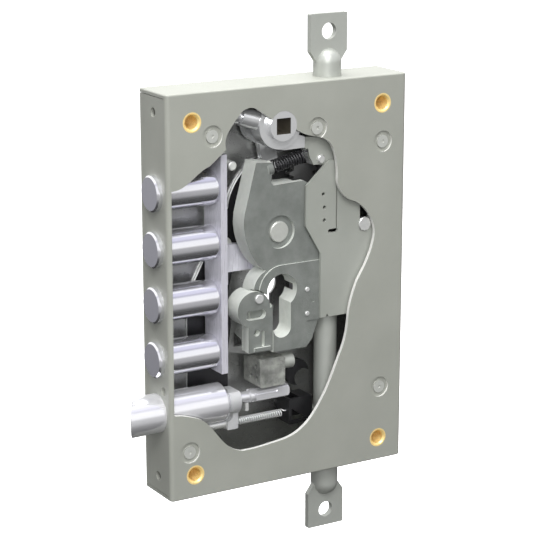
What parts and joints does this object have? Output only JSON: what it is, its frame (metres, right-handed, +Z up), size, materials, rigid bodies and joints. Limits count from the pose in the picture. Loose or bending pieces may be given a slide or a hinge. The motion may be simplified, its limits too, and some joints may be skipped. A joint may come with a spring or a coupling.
{
  "type": "multipoint door lock",
  "caption": "Surface-mounted door lock in a flat steel case with a cut-away cover: round deadbolts on one carrier, a bevelled round latch, and rods that leave the top and bottom.",
  "frame": {"origin": "centre of the four fixing inserts, in the plane of the lock's back", "axes": "+Z up along the rods; +Y to the back, into the door; the bolts leave along -X"},
  "size_m": [0.1576, 0.027, 0.2726],
  "materials": {
    "cover_sheet": "satin",
    "inner_sheet": "dull",
    "brass": "polished",
    "rivet_steel": "satin",
    "polished_steel": "polished",
    "bolt_bar": "satin",
    "cast_grey": "fine cast grain, satin",
    "rod_steel": "satin",
    "gear_steel": "machined",
    "dark_steel": "dark, oiled",
    "pin_steel": "bright",
    "black_spring": "black",
    "silver_spring": "bright"
  },
  "bodies": {
    "case": {"front_cover": "cover_sheet", "back_plate": "inner_sheet", "fixing_inserts": "brass", "cover_rivets": "rivet_steel", "slide_guide": "inner_sheet", "gear_axle": "rivet_steel", "pinion_pin": "rivet_steel", "slider_guide_pin": "pin_steel", "mechanism_body": "cast_grey", "body_legs": "rivet_steel", "body_screws": "rivet_steel", "body_pins": "pin_steel", "lever_pivot": "rivet_steel", "lever_stop": "pin_steel", "latch_bracket": "dark_steel", "latch_cam": "dark_steel", "pawl_pin": "pin_steel", "guide_plate": "inner_sheet", "cast_block": "cast_grey", "block_shaft": "rod_steel", "hub_spring": "black_spring", "latch_spring": "silver_spring"},
    "bolts": {"deadbolt_1": "polished_steel", "deadbolt_2": "polished_steel", "deadbolt_3": "polished_steel", "deadbolt_4": "polished_steel", "bolt_carrier": "bolt_bar", "bolt_rivets": "rivet_steel", "bolt_slide": "bolt_bar"},
    "gear": {"throw_gear": "gear_steel"},
    "pinion": {"reversing_pinion": "gear_steel"},
    "lower": {"rod_rack": "gear_steel", "lower_block": "gear_steel", "slider_plate": "cover_sheet", "lower_rod": "rod_steel", "lower_rod_end": "rod_steel"},
    "upper": {"upper_block": "gear_steel", "upper_rod": "rod_steel", "upper_rod_end": "rod_steel"},
    "hub": {"handle_hub": "polished_steel", "hub_roller": "polished_steel", "hub_plate": "inner_sheet", "hub_pin": "pin_steel"},
    "lever": {"latch_lever": "dark_steel"},
    "latch": {"latch_bolt": "polished_steel", "latch_collar": "cast_grey", "latch_hook": "pin_steel", "latch_plunger": "pin_steel"},
    "pawl": {"stop_pawl": "cast_grey"}
  },
  "joints": [
    {"name": "bolts", "type": "slide", "parent": "case", "child": "bolts", "axis": [-1, 0, 0], "range_m": [0, 0.028]},
    {"name": "gear", "type": "hinge", "parent": "case", "child": "gear", "pos_m": [-0.00225, -0.0135, 0.02805], "axis": [0, 1, 0], "range_deg": [0, 128.4]},
    {"name": "lower", "type": "slide", "parent": "case", "child": "lower", "axis": [0, 0, -1], "range_m": [0, 0.02381]},
    {"name": "pinion", "type": "hinge", "parent": "case", "child": "pinion", "pos_m": [0.02995, -0.0135, 0.02955], "axis": [0, -1, 0], "range_deg": [0, 181.9]},
    {"name": "upper", "type": "slide", "parent": "case", "child": "upper", "axis": [0, 0, 1], "range_m": [0, 0.02381]},
    {"name": "hub", "type": "hinge", "parent": "case", "child": "hub", "pos_m": [-0.00355, -0.0135, 0.08275], "axis": [0, 1, 0], "range_deg": [0, 20], "deforming": ["hub_spring"]},
    {"name": "lever", "type": "hinge", "parent": "case", "child": "lever", "pos_m": [-0.02465, -0.0025, 0.02015], "axis": [0, -1, 0], "range_deg": [0, 10.3]},
    {"name": "latch", "type": "slide", "parent": "case", "child": "latch", "axis": [1, 0, 0], "range_m": [0, 0.014], "stiffness_N_per_m": 620, "springref_m": -0.01404, "deforming": ["latch_spring"]},
    {"name": "pawl", "type": "hinge", "parent": "case", "child": "pawl", "pos_m": [-0.01505, -0.0205, -0.00475], "axis": [0, 1, 0], "range_deg": [0, 5]}
  ],
  "couplings": [
    {"joint": "gear", "follows": "bolts", "rad_per_m": 80},
    {"joint": "lower", "follows": "bolts", "ratio": 0.85},
    {"joint": "pinion", "follows": "bolts", "rad_per_m": 113.33},
    {"joint": "upper", "follows": "bolts", "ratio": 0.85},
    {"joint": "hub", "follows": "latch", "rad_per_m": 24.933},
    {"joint": "lever", "follows": "latch", "rad_per_m": 12.79}
  ]
}
